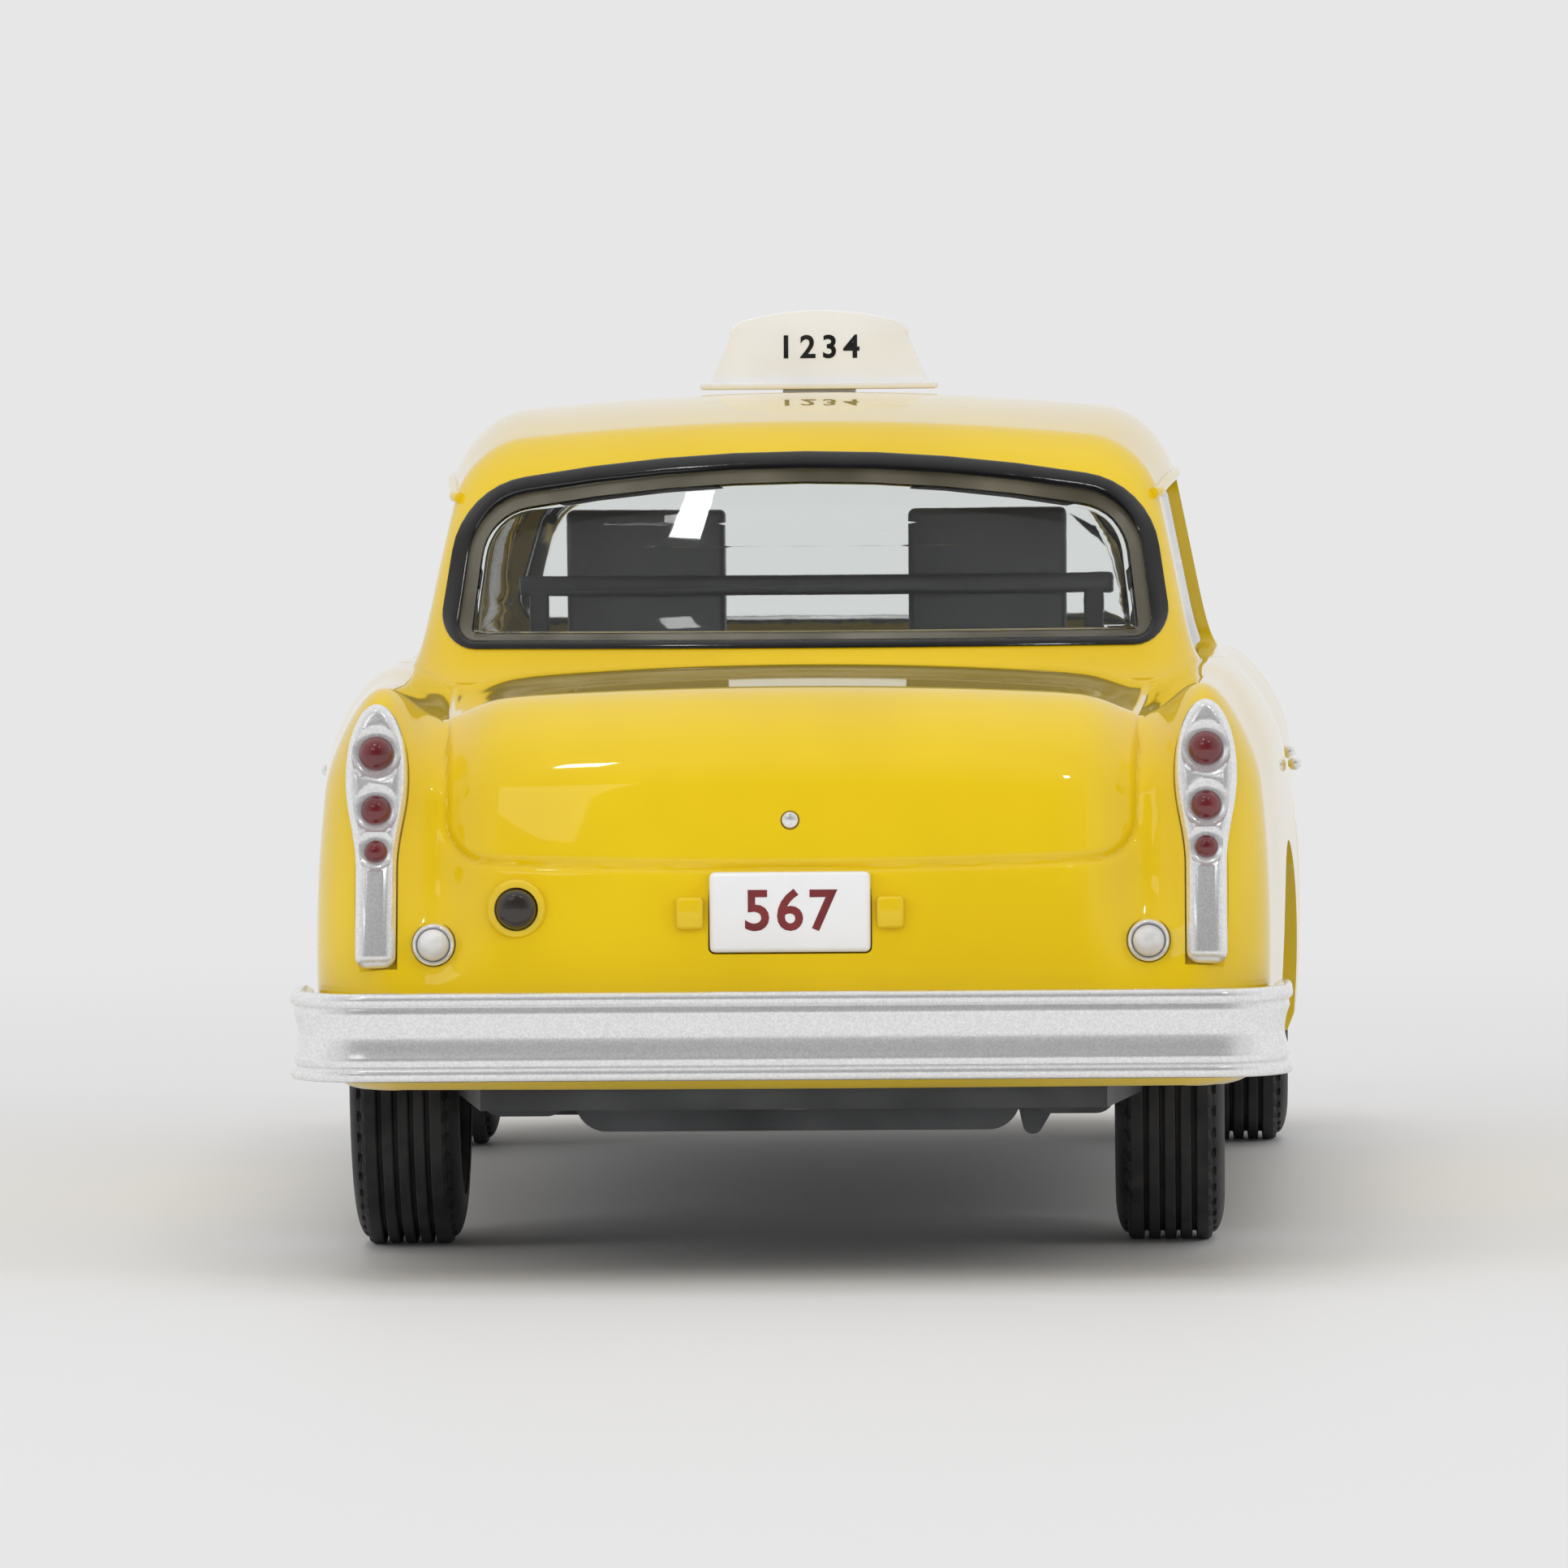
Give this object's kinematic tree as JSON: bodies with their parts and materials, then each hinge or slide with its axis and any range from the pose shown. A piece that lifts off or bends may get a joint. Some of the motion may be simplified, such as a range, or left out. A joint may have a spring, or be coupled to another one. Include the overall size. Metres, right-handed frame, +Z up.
{
  "type": "diecast collector car",
  "caption": "Small yellow diecast sedan cab with silver bumpers, roof sign, rolling axles and a bonnet that opens over an engine.",
  "frame": {"origin": "centre of the bounding box at the floor that the tyres stand on", "axes": "+Y runs along the car from nose to tail, +Z is up, +X is the car's left side"},
  "size_m": [0.0304, 0.0812, 0.028],
  "materials": {
    "yellow_paint": "gloss",
    "black_plastic": "matte",
    "engine_paint": "satin",
    "dark_casting": "satin",
    "bare_steel": "satin",
    "wheel_silver": "gloss",
    "tyre_rubber": "matte",
    "clear_plastic": "gloss",
    "black_trim": "gloss",
    "silver_paint": "satin",
    "white_plastic": "gloss",
    "white_lens": "gloss",
    "red_lens": "gloss",
    "amber_lens": "gloss",
    "brown_cap": "gloss"
  },
  "bodies": {
    "car_body": {"body_shell": "yellow_paint", "bonnet_hinge_pin": "bare_steel", "engine_bay": "black_plastic", "engine": "engine_paint", "air_cleaner": "black_plastic", "radiator": "black_plastic", "chassis_base": "dark_casting", "base_screws": "bare_steel", "windscreen": "clear_plastic", "rear_window": "clear_plastic", "side_window_left": "clear_plastic", "side_window_right": "clear_plastic", "windscreen_seal": "black_trim", "rear_window_seal": "black_trim", "interior_tub": "black_plastic", "front_seat": "black_plastic", "rear_seat": "black_plastic", "dashboard": "black_plastic", "steering_wheel": "black_plastic", "partition_rail": "black_plastic", "roof_sign": "white_plastic", "rear_bumper": "silver_paint", "front_bumper": "silver_paint", "grille": "silver_paint", "headlamp_bezel_left": "silver_paint", "headlamp_bezel_right": "silver_paint", "headlamp_lenses": "clear_plastic", "parking_lamps": "amber_lens", "tail_lamp_bezel_left": "silver_paint", "tail_lamp_bezel_right": "silver_paint", "tail_lamp_lenses": "red_lens", "reversing_lamp_rims": "silver_paint", "reversing_lamp_lenses": "white_lens", "fuel_cap": "brown_cap", "number_plate": "white_plastic", "boot_lock": "silver_paint", "door_handles": "silver_paint"},
    "bonnet_panel": {"bonnet": "yellow_paint"},
    "front_wheels": {"front_axle": "bare_steel", "wheel_front_left": "wheel_silver", "wheel_front_right": "wheel_silver", "tyre_front_left": "tyre_rubber", "tyre_front_right": "tyre_rubber"},
    "rear_wheels": {"rear_axle": "bare_steel", "wheel_rear_left": "wheel_silver", "wheel_rear_right": "wheel_silver", "tyre_rear_left": "tyre_rubber", "tyre_rear_right": "tyre_rubber"}
  },
  "joints": [
    {"name": "front_axle_spin", "type": "hinge", "parent": "car_body", "child": "front_wheels", "pos_m": [0, -0.02635, 0.00555], "axis": [1, 0, 0], "continuous": true},
    {"name": "rear_axle_spin", "type": "hinge", "parent": "car_body", "child": "rear_wheels", "pos_m": [0, 0.02125, 0.00555], "axis": [1, 0, 0], "continuous": true},
    {"name": "bonnet_hinge", "type": "hinge", "parent": "car_body", "child": "bonnet_panel", "pos_m": [0, -0.013, 0.0148], "axis": [-1, 0, 0], "range_deg": [0, 50]}
  ]
}
